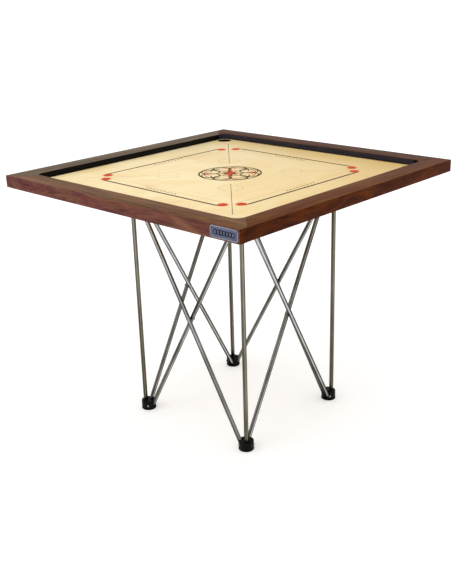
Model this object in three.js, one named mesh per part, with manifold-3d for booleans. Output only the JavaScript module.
// Carrom board on a folding rod stand. Millimetres, +Z up, origin on the floor under the board's centre.
// Front is -Y and right is +X. Corners and sides are numbered by quarter turns, counter-clockwise
// from above: corner 0 is front right, side 0 is the front.
import * as THREE from 'three';
import { mergeVertices } from 'three/addons/utils/BufferGeometryUtils.js';
import Module from 'manifold-3d';

const wasm = await Module();
wasm.setup();

// ---------- driving dimensions ----------
const GAP = 0.3;                  // air left between pieces that touch
const PLAY = 740;                 // side of the square playing surface
const FRAME = 855;                // outer side of the rosewood frame
const FRAME_HEIGHT = 32.5;
const FRAME_TOP = 713;            // frame top above the floor
const CUSHION = 17.5;             // frame top above the playing surface
const PLY = 8;                    // playing panel thickness
const REBATE = 6.3;               // how far the panel's edge runs under the rails
const POCKET_RADIUS = 22.25;      // 44.5 mm pockets, touching both cushions
const MITRE_GAP = 0.25;
const JOINT_OFFSET = 24.5;        // the frame's corner joints, from the corners along each side

const BATTEN_WIDTH = 52;
const BATTEN_Y = 190;
const NET_BOTTOM = 661;
const PLATE = { x: 382, width: 82, height: 27, thickness: 1.2 };

const STAND_TURN = THREE.MathUtils.degToRad(1.6);   // the board lies slightly turned on its stand
const STAND_SHIFT = new THREE.Vector3(7, 6, 0);     // and a few millimetres off its middle
const HUB_HALF_SPACING = 190;     // hub axes at +-190 in both directions
const HUB_RADIUS = 20.8;
const PIVOT_INSET = 12.5;         // rod pivots, from the hub axis towards the neighbouring hub
const PIVOT_RISE = 13.5;          // foot pivots above the floor
const TOP_PIVOT = 647;            // top pivots above the floor
const ROD_RADIUS = 6;
const ROD_WALL = 1.2;
const ROD_PLANE = 6.25;           // each rod of a crossed pair runs this far from the hub axes
const UPRIGHT_OUTSET = 6;         // the upright stands on the hub's outer corner
const INNER_ROD_RADIUS = 4.5;
const INNER_ROD_LENGTH = 265;
const PIN_RADIUS = 2.2;
const FOOT_HEIGHT = 5;
const SIDES_OF = { hub: 20, tube: 12, small: 8 };   // facets round each kind of round piece

// ---------- worked out from them ----------
const FRAME_BOTTOM = FRAME_TOP - FRAME_HEIGHT;
const SURFACE = FRAME_TOP - CUSHION;
const PANEL_BOTTOM = SURFACE - PLY;
const HALF_FRAME = FRAME / 2;
const HALF_PLAY = PLAY / 2;
const HALF_REBATE = HALF_PLAY + REBATE;
const POCKET_CENTRE = HALF_PLAY - POCKET_RADIUS;
const HUB_BOTTOM = FOOT_HEIGHT + GAP;
const HUB_TOP = 2 * PIVOT_RISE;
const TOP_HUB_BOTTOM = TOP_PIVOT - PIVOT_RISE;
const TOP_HUB_TOP = FRAME_BOTTOM - GAP;
const PIVOT_SPAN = 2 * (HUB_HALF_SPACING - PIVOT_INSET);
const PIVOT_HEIGHT = TOP_PIVOT - PIVOT_RISE;
const ROD_LENGTH = Math.hypot(PIVOT_SPAN, PIVOT_HEIGHT);
const ROD_TILT = Math.atan2(PIVOT_SPAN, PIVOT_HEIGHT);
const SLOT_HALF = ROD_RADIUS + 0.35;
const SLOT_END = PIVOT_INSET - ROD_RADIUS - 0.5;
const SLOT_FLOOR = ROD_RADIUS + 0.4;
const QUARTER = Math.PI / 2;
const CORNERS = ['front_right', 'back_right', 'back_left', 'front_left'];
const SIDES = ['front', 'right', 'back', 'left'];

// ---------- solids ----------
// A closed geometry as a solid for joining and cutting, with its faces turned outwards.
function solid(geometry) {
  const bare = geometry.index ? geometry.toNonIndexed() : geometry.clone();
  bare.deleteAttribute('normal');
  bare.deleteAttribute('uv');
  const merged = mergeVertices(bare, 1e-3);
  const triVerts = [];
  for (let i = 0; i < merged.index.count; i += 3) {
    const [a, b, c] = [0, 1, 2].map((k) => merged.index.getX(i + k));
    if (a !== b && b !== c && c !== a) triVerts.push(a, b, c);
  }
  return new wasm.Manifold(new wasm.Mesh({
    numProp: 3,
    vertProperties: merged.attributes.position.array,
    triVerts: new Uint32Array(triVerts),
  }));
}

function geometryOf(body) {
  const { vertProperties, triVerts } = body.getMesh();
  const geometry = new THREE.BufferGeometry();
  geometry.setAttribute('position', new THREE.BufferAttribute(new Float32Array(vertProperties), 3));
  geometry.setIndex(new THREE.BufferAttribute(new Uint32Array(triVerts), 1));
  geometry.computeVertexNormals();
  return geometry;
}

function cut(body, cutters) {
  return cutters.reduce((rest, cutter) => rest.subtract(solid(cutter)), body);
}

function box([x0, x1], [y0, y1], [z0, z1]) {
  return new THREE.BoxGeometry(x1 - x0, y1 - y0, z1 - z0)
    .translate((x0 + x1) / 2, (y0 + y1) / 2, (z0 + z1) / 2);
}

// A cylinder between two heights along the axis it is named for, through the given point of the other two.
function postZ(x, y, radius, [z0, z1], sides = SIDES_OF.tube) {
  return new THREE.CylinderGeometry(radius, radius, z1 - z0, sides)
    .rotateX(QUARTER).translate(x, y, (z0 + z1) / 2);
}

function boreY(x, z, radius, [y0, y1], sides = SIDES_OF.small) {
  return new THREE.CylinderGeometry(radius, radius, y1 - y0, sides).translate(x, (y0 + y1) / 2, z);
}

function boreX(y, z, radius, [x0, x1], sides = SIDES_OF.small) {
  return new THREE.CylinderGeometry(radius, radius, x1 - x0, sides)
    .rotateZ(QUARTER).translate((x0 + x1) / 2, y, z);
}

// A profile of [radius, height] points turned about the vertical axis.
function turned(profile, sides) {
  const points = profile.map(([r, z]) => new THREE.Vector2(r, z));
  return new THREE.LatheGeometry(points, sides).rotateX(QUARTER);
}

function slab(shape, [z0, z1], curveSegments = 6) {
  return new THREE.ExtrudeGeometry(shape, { depth: z1 - z0, bevelEnabled: false, curveSegments })
    .translate(0, 0, z0);
}

function mesh(name, geometry, material) {
  const piece = new THREE.Mesh(geometry, material);
  piece.name = name;
  return piece;
}

// ---------- board: frame rails, playing panel, battens, pocket nets, label plate ----------
const rosewood = new THREE.MeshStandardMaterial({ color: 0x6b4433, roughness: 0.45 });
const birchPly = new THREE.MeshStandardMaterial({ color: 0xf6e0b2, roughness: 0.3 });
const softwood = new THREE.MeshStandardMaterial({ color: 0xc9a877, roughness: 0.7 });
const cotton = new THREE.MeshStandardMaterial({ color: 0xe8e2d2, roughness: 0.95 });
const labelMetal = new THREE.MeshStandardMaterial({ color: 0x6f7292, roughness: 0.35, metalness: 0.8 });

// The front rail. Its upper part laps over the panel and carries the rounded corner at its right end,
// so that its 45 degree joint with the right rail is set off from the frame's corner.
function frontRail() {
  const g = MITRE_GAP;
  const offset = JOINT_OFFSET;
  const upper = new THREE.Shape()
    .moveTo(offset - HALF_FRAME + g, -HALF_FRAME)
    .lineTo(HALF_FRAME, -HALF_FRAME)
    .lineTo(HALF_FRAME, offset - HALF_FRAME - g)
    .lineTo(HALF_PLAY, offset - HALF_PLAY - g)
    .lineTo(HALF_PLAY, -POCKET_CENTRE)
    .absarc(POCKET_CENTRE, -POCKET_CENTRE, POCKET_RADIUS, 0, -QUARTER, true)
    .lineTo(offset - HALF_PLAY + g, -HALF_PLAY)
    .closePath();

  const lower = new THREE.Shape()
    .moveTo(offset - HALF_FRAME + g, -HALF_FRAME)
    .lineTo(HALF_FRAME, -HALF_FRAME)
    .lineTo(HALF_FRAME, offset - HALF_FRAME - g)
    .lineTo(HALF_REBATE, offset - HALF_REBATE - g)
    .lineTo(HALF_REBATE, -HALF_REBATE)
    .lineTo(offset - HALF_REBATE + g, -HALF_REBATE)
    .closePath();

  const lip = SURFACE + GAP;
  return solid(slab(upper, [lip, FRAME_TOP])).add(solid(slab(lower, [FRAME_BOTTOM, lip])));
}

// The shallow seat that the label plate is let into, near the front rail's right end.
function plateSeat() {
  const margin = GAP;
  const middle = (FRAME_TOP + FRAME_BOTTOM) / 2;
  const x = PLATE.width / 2 + margin;
  const z = PLATE.height / 2 + margin;
  return box(
    [PLATE.x - x, PLATE.x + x],
    [-HALF_FRAME - 1, -HALF_FRAME + PLATE.thickness + GAP],
    [middle - z, middle + z],
  );
}

function playingPanel() {
  const edge = HALF_REBATE - GAP;
  const panel = new THREE.Shape()
    .moveTo(-edge, -edge)
    .lineTo(edge, -edge)
    .lineTo(edge, edge)
    .lineTo(-edge, edge)
    .closePath();
  for (const [x, y] of [[1, -1], [1, 1], [-1, 1], [-1, -1]]) {
    panel.holes.push(new THREE.Path()
      .absarc(x * POCKET_CENTRE, y * POCKET_CENTRE, POCKET_RADIUS, 0, 4 * QUARTER, false));
  }
  return slab(panel, [PANEL_BOTTOM, SURFACE], 12);
}

// A short net bag hung under its pocket, open at the top, with a rim stapled to the panel.
function pocketNet() {
  const rim = PANEL_BOTTOM - GAP;
  const b = NET_BOTTOM;
  return turned([
    [0, b], [12, b + 1], [21, b + 6], [25, b + 14], [25.6, rim - 1.6], [27.5, rim - 1.6], [27.5, rim],
    [24.4, rim], [23.8, b + 14.5], [20, b + 7.2], [11.6, b + 2.3], [0, b + 1.4],
  ], SIDES_OF.tube);
}

const board = new THREE.Group();
const rail = frontRail();
const plainRail = geometryOf(rail);
const seatedRail = geometryOf(cut(rail, [plateSeat()]));
const net = geometryOf(solid(pocketNet()));
for (let k = 0; k < 4; k += 1) {
  const quarter = new THREE.Group();
  quarter.rotation.z = k * QUARTER;
  quarter.add(mesh(`rail_${SIDES[k]}`, k === 0 ? seatedRail : plainRail, rosewood));
  const bag = mesh(`pocket_net_${CORNERS[k]}`, net, cotton);
  bag.position.set(POCKET_CENTRE, -POCKET_CENTRE, 0);
  quarter.add(bag);
  board.add(quarter);
}
board.add(mesh('playing_panel', playingPanel(), birchPly));
const battenHeight = PANEL_BOTTOM - GAP - FRAME_BOTTOM;
for (const [name, side] of [['front', -1], ['back', 1]]) {
  const length = 2 * (HALF_REBATE - GAP);
  const batten = mesh(`batten_${name}`, new THREE.BoxGeometry(length, BATTEN_WIDTH, battenHeight), softwood);
  batten.position.set(0, side * BATTEN_Y, FRAME_BOTTOM + battenHeight / 2);
  board.add(batten);
}
const plate = mesh(
  'label_plate',
  new THREE.BoxGeometry(PLATE.width, PLATE.thickness, PLATE.height),
  labelMetal,
);
plate.position.set(PLATE.x, -HALF_FRAME + PLATE.thickness / 2, (FRAME_TOP + FRAME_BOTTOM) / 2);
board.add(plate);

// ---------- stand: hubs, rubber feet, uprights, crossed rods, pins ----------
const hubPlastic = new THREE.MeshStandardMaterial({ color: 0x17171a, roughness: 0.5 });
const rubber = new THREE.MeshStandardMaterial({ color: 0x0f0f10, roughness: 0.85 });
const platedTube = new THREE.MeshStandardMaterial({ color: 0x9a9894, roughness: 0.25, metalness: 1 });
const brightRod = new THREE.MeshStandardMaterial({ color: 0xb0afac, roughness: 0.3, metalness: 1 });
const zincPin = new THREE.MeshStandardMaterial({ color: 0xa6a6a2, roughness: 0.35, metalness: 1 });

const PIN_BORE = PIN_RADIUS + 0.5;
const COUNTERBORE = 4.2;
const PIN_FACE = 15.2;            // floor of a pin's counterbore, from the hub axis
const SHORT_PIN_END = 5;          // an outer rod's pin stops inside the hub's middle wall
const STEM = 8;                   // the rubber foot's stem, on the hub's free corner
const STEM_RADIUS = 3;
const STEM_TOP = 10;

// The cuts that a hub gets, about its axis and its pivot height: two rod slots, the upright's socket
// and two pin bores with counterbores. A top hub gets the same cuts, turned over about its diagonal.
function hubCuts(socketRadius) {
  const high = 40;
  return [
    box([-high, -SLOT_END], [-ROD_PLANE - SLOT_HALF, -ROD_PLANE + SLOT_HALF], [-SLOT_FLOOR, high]),
    box([-ROD_PLANE - SLOT_HALF, -ROD_PLANE + SLOT_HALF], [SLOT_END, high], [-SLOT_FLOOR, high]),
    postZ(UPRIGHT_OUTSET, -UPRIGHT_OUTSET, socketRadius, [-SLOT_FLOOR, high]),
    boreY(-PIVOT_INSET, 0, PIN_BORE, [-high, SHORT_PIN_END + GAP]),
    boreY(-PIVOT_INSET, 0, COUNTERBORE, [-high, -PIN_FACE], SIDES_OF.tube),
    boreX(PIVOT_INSET, 0, PIN_BORE, [-PIN_FACE - GAP, high]),
    boreX(PIVOT_INSET, 0, COUNTERBORE, [PIN_FACE, high], SIDES_OF.tube),
  ];
}

function footHub() {
  const r = HUB_RADIUS;
  const profile = [[0, HUB_BOTTOM], [r - 1, HUB_BOTTOM], [r, HUB_BOTTOM + 1.2], [r, HUB_TOP - 1.7],
    [r - 1.7, HUB_TOP], [0, HUB_TOP]];
  const cuts = hubCuts(ROD_RADIUS + GAP).map((g) => g.translate(0, 0, PIVOT_RISE));
  cuts.push(postZ(STEM, STEM, STEM_RADIUS + GAP, [0, STEM_TOP + GAP], SIDES_OF.small));
  return geometryOf(cut(solid(turned(profile, SIDES_OF.hub)), cuts));
}

// The top hub carries a round pad on a neck, which the board rests on.
function topHub() {
  const r = HUB_RADIUS;
  const shoulder = TOP_PIVOT + SLOT_FLOOR + 1.8;
  const profile = [[0, TOP_HUB_BOTTOM], [r - 1.7, TOP_HUB_BOTTOM], [r, TOP_HUB_BOTTOM + 1.7],
    [r, shoulder - 1.2], [r - 1, shoulder], [11, shoulder + 2], [11, TOP_HUB_TOP - 10],
    [r, TOP_HUB_TOP - 6], [r, TOP_HUB_TOP], [0, TOP_HUB_TOP]];
  const turnOver = new THREE.Matrix4().set(0, -1, 0, 0, -1, 0, 0, 0, 0, 0, -1, TOP_PIVOT, 0, 0, 0, 1);
  const cuts = hubCuts(INNER_ROD_RADIUS + GAP).map((g) => g.applyMatrix4(turnOver));
  return geometryOf(cut(solid(turned(profile, SIDES_OF.hub)), cuts));
}

function rubberFoot() {
  const r = HUB_RADIUS + 0.5;
  const profile = [[0, 0], [r - 3.6, 0], [r - 1, 1.2], [r, 3.4], [r, FOOT_HEIGHT], [0, FOOT_HEIGHT]];
  const stem = postZ(STEM, STEM, STEM_RADIUS, [FOOT_HEIGHT - 1, STEM_TOP], SIDES_OF.small);
  return geometryOf(solid(turned(profile, SIDES_OF.hub)).add(solid(stem)));
}

// A tube whose rounded ends turn about its pins. The cross holes open its bore to the outside.
function sideRod() {
  const half = ROD_LENGTH / 2;
  const bore = ROD_RADIUS - ROD_WALL;
  const end = [0, 45, 90].map((angle) => {
    const a = THREE.MathUtils.degToRad(angle);
    return [ROD_RADIUS * Math.sin(a), half + ROD_RADIUS * Math.cos(a)];
  });
  const outline = [...end.map(([r, z]) => [r, -z]), ...end.reverse()];
  const inside = turned([[0, -half - 4], [bore, -half], [bore, half], [0, half + 4]], SIDES_OF.small);
  const holes = [-half, 0, half].map((z) => boreY(0, z, PIN_BORE, [-2 * ROD_RADIUS, 2 * ROD_RADIUS]));
  return geometryOf(cut(solid(turned(outline, SIDES_OF.tube)), [inside, ...holes]));
}

function uprightTube() {
  const [low, high] = [PIVOT_RISE - SLOT_FLOOR + GAP, TOP_HUB_BOTTOM - GAP];
  const bore = ROD_RADIUS - ROD_WALL + 0.1;
  return geometryOf(solid(turned([
    [bore, low], [ROD_RADIUS, low], [ROD_RADIUS, high], [bore, high], [bore, low],
  ], SIDES_OF.tube)));
}

function innerRod() {
  const high = TOP_PIVOT + SLOT_FLOOR - GAP;
  const r = INNER_ROD_RADIUS;
  return geometryOf(solid(turned([
    [0, high - INNER_ROD_LENGTH], [r - 1, high - INNER_ROD_LENGTH], [r, high - INNER_ROD_LENGTH + 1],
    [r, high], [0, high],
  ], SIDES_OF.tube)));
}

// A headed pin along Y. The head sits in the hub's counterbore on the -Y side.
function hubPin(end) {
  const seat = -PIN_FACE - GAP;
  return turned([[0, seat - 1.5], [2.8, seat - 1.5], [3.6, seat - 0.8], [3.6, seat],
    [PIN_RADIUS, seat], [PIN_RADIUS, end], [0, end]], SIDES_OF.small).rotateX(-QUARTER);
}

// A domed rivet along Y through both rods where they cross.
function crossingRivet() {
  const seat = ROD_PLANE + ROD_RADIUS + GAP;
  const dome = [[0, seat + 1.8], [2.6, seat + 1.4], [4.2, seat], [PIN_RADIUS, seat]];
  const profile = [...dome.map(([r, y]) => [r, -y]), ...dome.reverse()];
  return turned(profile, SIDES_OF.small).rotateX(-QUARTER);
}

const stand = new THREE.Group();
stand.rotation.z = STAND_TURN;
stand.position.copy(STAND_SHIFT);

const shapes = {
  footHub: footHub(),
  topHub: topHub(),
  rubberFoot: rubberFoot(),
  sideRod: sideRod(),
  upright: uprightTube(),
  innerRod: innerRod(),
  shortPin: geometryOf(solid(hubPin(SHORT_PIN_END))),
  longPin: geometryOf(solid(hubPin(PIN_FACE))),
  rivet: geometryOf(solid(crossingRivet())),
};

function place(group, name, shape, material, [x, y, z], tilt = 0) {
  const piece = mesh(name, shapes[shape], material);
  piece.position.set(x, y, z);
  piece.rotation.y = tilt;
  group.add(piece);
}

for (let k = 0; k < 4; k += 1) {
  const quarter = new THREE.Group();
  quarter.rotation.z = k * QUARTER;
  const corner = CORNERS[k];
  const side = SIDES[k];
  const h = HUB_HALF_SPACING;
  const upright = h + UPRIGHT_OUTSET;
  place(quarter, `foot_hub_${corner}`, 'footHub', hubPlastic, [h, -h, 0]);
  place(quarter, `rubber_foot_${corner}`, 'rubberFoot', rubber, [h, -h, 0]);
  place(quarter, `top_hub_${corner}`, 'topHub', hubPlastic, [h, -h, 0]);
  place(quarter, `upright_tube_${corner}`, 'upright', platedTube, [upright, -upright, 0]);
  place(quarter, `inner_rod_${corner}`, 'innerRod', brightRod, [upright, -upright, 0]);

  // Side k runs from corner k to the next corner clockwise. Its outer rod starts at corner k's foot.
  const pivot = h - PIVOT_INSET;
  const middle = PIVOT_RISE + PIVOT_HEIGHT / 2;
  place(quarter, `${side}_outer_rod`, 'sideRod', platedTube, [0, -h - ROD_PLANE, middle], -ROD_TILT);
  place(quarter, `${side}_inner_rod`, 'sideRod', platedTube, [0, -h + ROD_PLANE, middle], ROD_TILT);
  place(quarter, `${side}_crossing_rivet`, 'rivet', zincPin, [0, -h, middle]);
  place(quarter, `${side}_outer_rod_foot_pin`, 'shortPin', zincPin, [pivot, -h, PIVOT_RISE]);
  place(quarter, `${side}_outer_rod_top_pin`, 'shortPin', zincPin, [-pivot, -h, TOP_PIVOT]);
  place(quarter, `${side}_inner_rod_foot_pin`, 'longPin', zincPin, [-pivot, -h, PIVOT_RISE]);
  place(quarter, `${side}_inner_rod_top_pin`, 'longPin', zincPin, [pivot, -h, TOP_PIVOT]);
  stand.add(quarter);
}

const carromBoard = new THREE.Group();
carromBoard.add(board, stand);

export default carromBoard;
